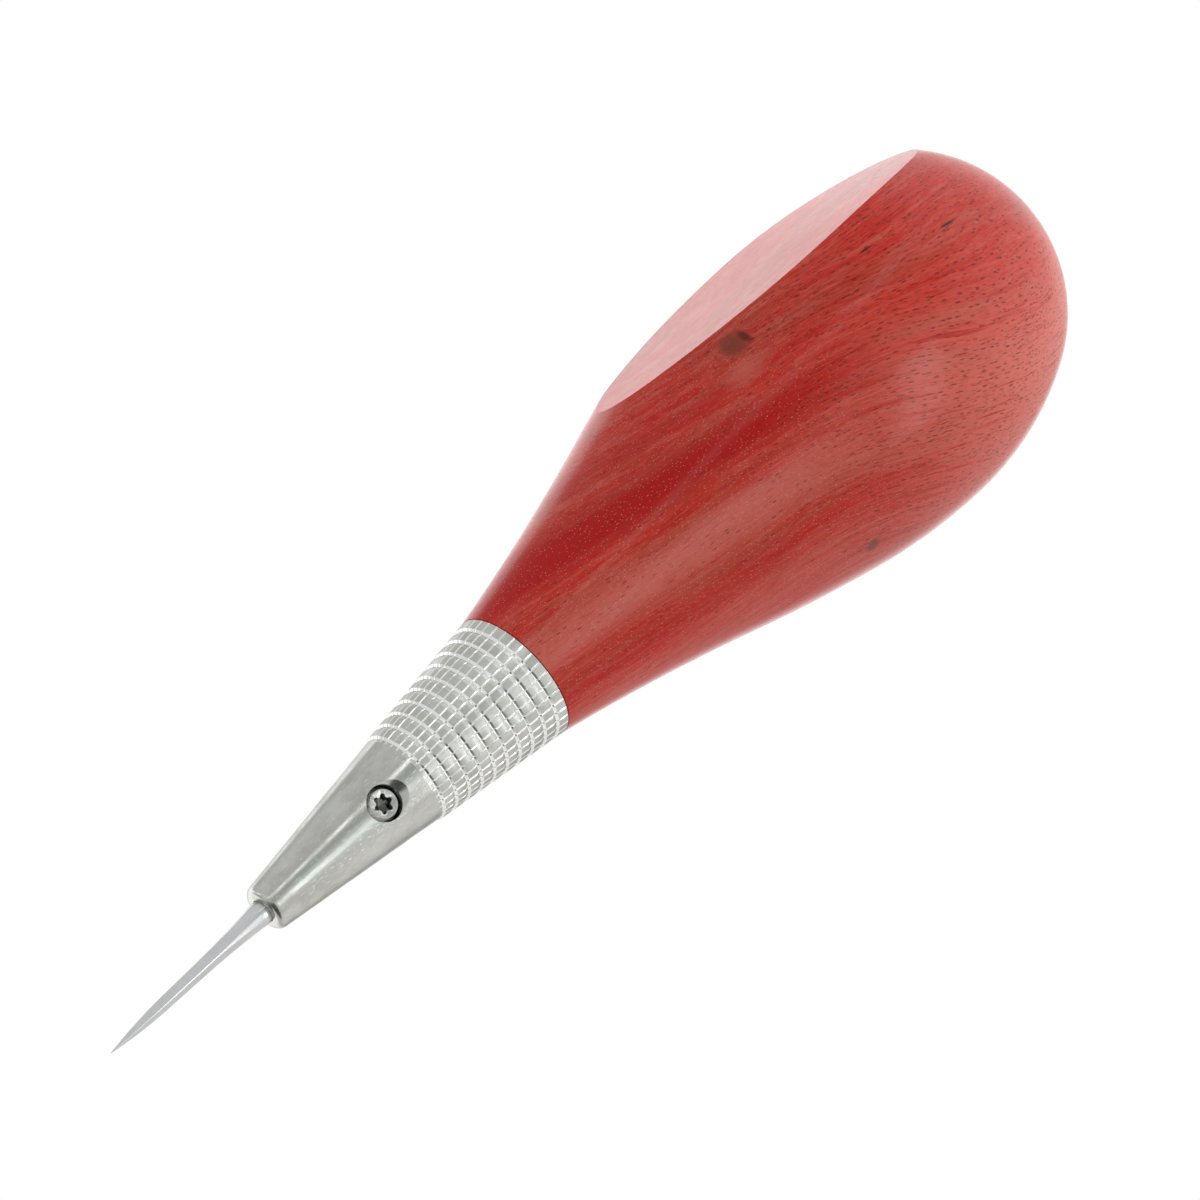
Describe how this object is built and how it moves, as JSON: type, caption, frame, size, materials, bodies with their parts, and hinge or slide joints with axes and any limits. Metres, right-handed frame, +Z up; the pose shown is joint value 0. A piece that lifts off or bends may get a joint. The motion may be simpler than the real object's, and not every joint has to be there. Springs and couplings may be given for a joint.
{
  "type": "scratch awl",
  "caption": "Scratch awl with a bulbous red wood palm handle that has a flat on one side, a knurled metal chuck and a slim faceted blade held by a clamp screw.",
  "frame": {"origin": "middle of the flat on the handle, which the awl lies on", "axes": "+X along the tool's axis towards the blade's tip, +Z up, away from the flat"},
  "size_m": [0.1476, 0.0404, 0.0353],
  "materials": {
    "red_wood": "satin",
    "brass": "satin",
    "zinc_steel": "satin",
    "chuck_metal": "satin",
    "screw_steel": "satin",
    "blade_steel": "satin"
  },
  "bodies": {
    "haft": {"handle": "red_wood", "threaded_insert": "brass", "joining_stud": "zinc_steel", "chuck": "chuck_metal"},
    "pad": {"clamp_pad": "brass"},
    "screw": {"clamp_screw": "screw_steel"},
    "blade": {"blade": "blade_steel"}
  },
  "joints": [
    {"name": "blade_slide", "type": "slide", "parent": "haft", "child": "blade", "axis": [1, 0, 0], "range_m": [0, 0.028]},
    {"name": "clamp_screw_travel", "type": "slide", "parent": "haft", "child": "pad", "axis": [0, -0.9925, -0.1219], "range_m": [0, 0.0021]},
    {"name": "clamp_screw_turn", "type": "hinge", "parent": "pad", "child": "screw", "pos_m": [0.0749, 0, 0.0151], "axis": [0, -0.9925, -0.1219], "range_deg": [0, 1081]}
  ],
  "couplings": [
    {"joint": "clamp_screw_turn", "follows": "clamp_screw_travel", "rad_per_m": 8976}
  ]
}
